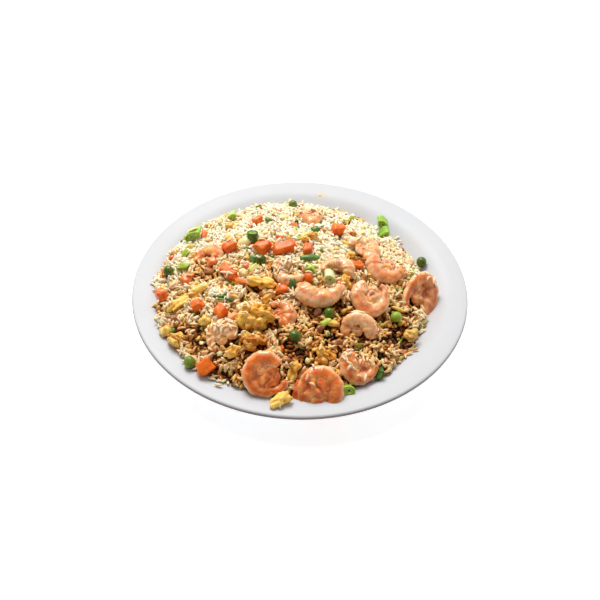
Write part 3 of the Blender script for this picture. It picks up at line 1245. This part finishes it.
spillMesh = makeSpillBed(spillWidth)
bitColours = {  # light, dark, accent, then roughness and coat where they differ
    "egg_crumb": ((250, 210, 104), (222, 160, 54), (186, 118, 34)),
    "browned_bit": ((196, 124, 74), (132, 70, 28), (222, 156, 100)),
    "pink_bit": ((252, 214, 170), (238, 168, 108), (214, 112, 54), 0.4, 0.15),
    "light_leaf": ((192, 200, 56), (134, 166, 30), (214, 212, 100), 0.4, 0.1),
    "dark_leaf": ((96, 140, 44), (44, 84, 24), (136, 170, 70), 0.36),
    "pale_onion": ((246, 230, 180), (222, 206, 120), (200, 190, 90), 0.36),
    "carrot_chip": ((246, 136, 56), (224, 92, 28), (250, 170, 100), 0.36)}
bitFinish = {name: bitMaterial(name, *colours) for name, colours in bitColours.items()}
placedBits = {  # shape, x, y, rise, heading, tilt, lean, then length, width, height, seed
    "placed_dark_leaves": ("dark_leaf", "scallion", (
        (sliver, 12.8, 50, 2.2, 20, 30, 10, 8, 6, 0.9, 1), (sliver, -6.4, -27, 2.4, 80, 50, -10, 10, 6, 0.9, 2),
        (sliver, -63, -36, 2.0, 10, 30, 0, 10, 4, 0.9, 3), (sliver, 8, 8.5, 2.0, 5, 24, 6, 17, 5.5, 0.9, 4),
        (sliver, -29, 64, 2.0, -30, 10, 12, 6, 4, 0.9, 5), (sliver, -101, -62, 2.0, 30, 20, -30, 7, 4, 0.9, 6),
        (sliver, -56, -40, 2.0, -25, 30, 0, 7, 3, 0.9, 7), (lump, -38, 6, 1.6, 0, 20, 0, 8, 7, 5, 8))),
    "placed_light_leaves": ("light_leaf", "scallion", (
        (chip, -98, 25, 1.6, 30, 20, -20, 6, 5, 3, 1), (chip, -98.4, 7, 1.6, -20, 20, -20, 9, 5, 3, 2),
        (sliver, -15, -117, 1.4, 10, 40, 0, 9, 5, 1.2, 3), (chip, 46.7, 83, 1.4, 40, 0, 20, 6, 4, 3, 4),
        (chip, 20.7, -61, 2.0, 30, 30, 0, 9, 5, 3.5, 8), (sliver, -26, -118, 1.6, 20, 30, 0, 10, 5, 1.2, 7),
        (chip, -66, -66, 2.4, 10, 30, 0, 8, 6, 3, 9), (chip, 95, 12, 2.0, 80, 10, 40, 9, 3, 2, 10))),
    "placed_onion_bits": ("pale_onion", "cooked_rice", (
        (sliver, -48, 28, 2.0, 20, 24, -6, 12, 8, 1.6, 1), (sliver, -15, 68, 1.6, 10, 10, 0, 9, 6, 1.4, 2),
        (chip, -38, -8, 1.6, 30, 24, 0, 9, 6, 3, 3), (chip, -46, -12, 1.4, 60, 24, 0, 6, 5, 3, 4),
        (sliver, 81, -18, 2.0, 60, 30, 40, 10, 2.2, 1.2, 5), (sliver, 84, -27, 1.8, 30, 10, 50, 9, 2.0, 1.2, 6),
        (sliver, 76, -30, 1.8, -20, 30, 40, 9, 2.2, 1.2, 7), (sliver, 60, 48, 1.6, 10, 10, 0, 9, 6, 1.4, 5),
        (sliver, 80, 70, 1.6, 40, 10, 10, 7, 5, 1.2, 6), (lump, 17, 122, 0.4, 60, 0, 0, 2.6, 1.6, 0.9, 13))),
    "placed_egg_crumbs": ("egg_crumb", "scrambled_egg", (
        (lump, -105, -60, 1.6, 0, 20, -30, 10, 9, 5, 1), (lump, -62, 59, 1.8, 20, 0, -10, 8, 7, 5, 2),
        (lump, 37.6, 102, 1.4, 30, 0, 10, 10, 7, 5, 3), (lump, 55, 88, 1.6, 0, 0, 20, 7, 5, 4, 4),
        (lump, 26, -62, 2.0, 10, 30, 0, 8, 5, 4, 5), (lump, -74, -58, 1.8, 20, 30, -20, 9, 8, 6, 8),
        (lump, -62, 38, 1.6, 10, 0, 0, 8, 6, 4, 9), (lump, 60, -4, 1.6, 10, 0, 0, 8, 6, 4, 10),
        (lump, -26, -40, 1.8, 40, 20, 0, 9, 6, 5, 11), (lump, 42, 20, 1.6, 40, 0, 0, 8, 7, 4, 12),
        (sliver, 80, -36, 2.2, 10, 30, 40, 12, 3, 1.2, 14))),
    "placed_carrot_chips": ("carrot_chip", "carrot", (
        (chip, -84.6, 51, 2.0, 70, 20, -10, 8, 5, 4, 1), (chip, -0.7, -116, 1.8, 80, 30, 0, 12, 5, 4, 2),
        (chip, -110, 22.5, 1.4, 0, 0, -20, 5, 4, 3, 3), (chip, -93, -10, 2.0, 60, 20, -20, 9, 6, 4, 4),
        (chip, -44, -22, 1.8, -10, 20, 0, 12, 5, 4, 5), (chip, -74, 8, 1.8, 30, 10, 0, 8, 6, 4, 6))),
    "placed_pink_bits": ("pink_bit", "shrimp_flesh", (
        (lump, 94, 30, 1.2, 60, 0, 20, 10, 7, 4, 8), (lump, 88, 40, 1.0, 20, 0, 20, 8, 6, 4, 9),
        (lump, -52, -56, 1.2, 20, 20, 0, 8, 6, 4, 3), (lump, -104, -14, 1.0, 40, 0, -20, 8, 5, 4, 4))),
    "placed_browned_bits": ("browned_bit", "shrimp_flesh", (
        (lump, 30, -77, 0.8, 20, 20, 0, 9, 5, 4, 1), (lump, 14.5, -50, 1.0, 70, 30, 0, 8, 6, 5, 2),
        (lump, 56, -61, 0.8, 10, 20, 10, 7, 5, 4, 3), (lump, -100, -50, 0.6, 30, 10, -30, 6, 5, 4, 4),
        (lump, -76, -2, 0.4, 10, 10, 0, 8, 6, 4, 5), (lump, 16, -66, 0.8, 40, 20, 0, 7, 5, 4, 7)))}


def placeBits():
    for name, (finish, slotName, rows) in placedBits.items():
        bm = bmesh.new()
        tone, = layersOf(bm, "tone")
        count = 0
        for shape, x, y, rise, heading, tilt, lean, *size, seed in rows:
            if shape is sliver:
                part = sliver(size, 0.2 * size[1], seed, 8)
            elif shape is chip:
                part = chip(size, seed, 0.4, 4)
            else:
                part = lump(size, seed, 0.6, 3)
            roughen(part, seed, (3.0, 0.25, False), (1.4, 0.12, True))
            turned(part, heading, tilt, lean)
            bmesh.ops.translate(part, vec=(x * mm, y * mm, groundAt(x * mm, y * mm) + rise * mm), verts=part.verts)
            gather(bm, part)
            bm.verts.ensure_lookup_table()
            for vert in bm.verts[count:]:
                vert[tone] = 0.5 + 0.9 * wave(seed * 1.9, 4.4, 0)
            count = len(bm.verts)
        newPiece(name, bm, bitFinish[finish])


placeBits()
print("bits placed by hand:", sum(len(rows) for finish, slotName, rows in placedBits.values()))
toppings = joined("all_toppings", ("_cooked", "_diced", "_curd", "_ring", "_leaves", "_bits", "_crumbs", "_chips"))
bitLook = {  # loose shape, finish, slot, then how it lies, in mm and degrees
    "egg_crumbs": (lump((4.8, 3.8, 3.2), 3), "egg_crumb", "scrambled_egg", dict(
        apart=13, seed=101, tilt=30, lift=(-0.8, 1.0), length=(0.5, 1.5), thick=(0.5, 1.4), clear=1.5, tiles=20)),
    "egg_shreds": (lump((9.0, 3.6, 2.2), 7, 0.6), "egg_crumb", "scrambled_egg", dict(
        apart=24, seed=103, tilt=28, lift=(-0.6, 0.8), length=(0.6, 1.3), thick=(0.7, 1.2), clear=1.5, tiles=14)),
    "browned_bits": (chip((4.6, 3.6, 2.6), 5, 0.5), "browned_bit", "shrimp_flesh", dict(
        apart=24, seed=105, tilt=35, lift=(-0.6, 0.8), length=(0.5, 1.4), thick=(0.6, 1.3), clear=1.5, tiles=16)),
    "light_leaves": (sliver((6.4, 3.4, 0.7), 0.5, 4), "light_leaf", "scallion", dict(
        apart=20, seed=107, tilt=40, lift=(0.2, 1.4), length=(0.5, 1.2), thick=(0.6, 1.2), clear=1.5, tiles=14)),
    "dark_leaves": (sliver((5.6, 3.2, 0.7), 0.7, 9), "dark_leaf", "scallion", dict(
        apart=22, seed=109, tilt=40, lift=(0.0, 1.2), length=(0.5, 1.3), thick=(0.6, 1.2), clear=1.5, tiles=12)),
    "onion_bits": (chip((6.0, 4.0, 1.8), 8, 0.4), "pale_onion", "cooked_rice", dict(
        apart=16, seed=111, tilt=35, lift=(0.0, 1.2), length=(0.5, 1.2), thick=(0.7, 1.2), clear=1.5, tiles=16)),
    "carrot_chips": (chip((4.6, 3.8, 3.0), 2, 0.4), "carrot_chip", "carrot", dict(
        apart=25, seed=113, tilt=35, lift=(0.0, 1.4), length=(0.6, 1.3), thick=(0.6, 1.2), clear=1.8, tiles=12))}
spare = [toppings]
for name, (shape, finish, slotName, look) in bitLook.items():
    piece = pattern(name + "_pattern", shape)
    scatter(name, bedMesh, piece, toppings, bitFinish[finish], look)
    spare.append(piece)
crowded = joined("all_before_rice", ("_cooked", "_diced", "_curd", "_ring", "_crumbs", "_shreds", "_bits", "_leaves",
                                     "_chips"))
spare.append(crowded)

riceFinish = riceMaterial()
patterns = {}
for name, (shape, look) in grainLook.items():
    patterns[name] = spindle(name + "_pattern", **shape)
    scatter(name, bedMesh, patterns[name], crowded, riceFinish, look)
scatter("rice_spilt", spillMesh, patterns["rice_straight"], toppings, riceFinish, spillLook)
scatter("rice_riding", toppings.data, patterns["rice_bent"], toppings, riceFinish, ridingLook)
print("rice scattered")

for made in spare + list(patterns.values()):
    bpy.data.objects.remove(made)
for mesh in (bedMesh, spillMesh):
    bpy.data.meshes.remove(mesh)

print("sizes written")
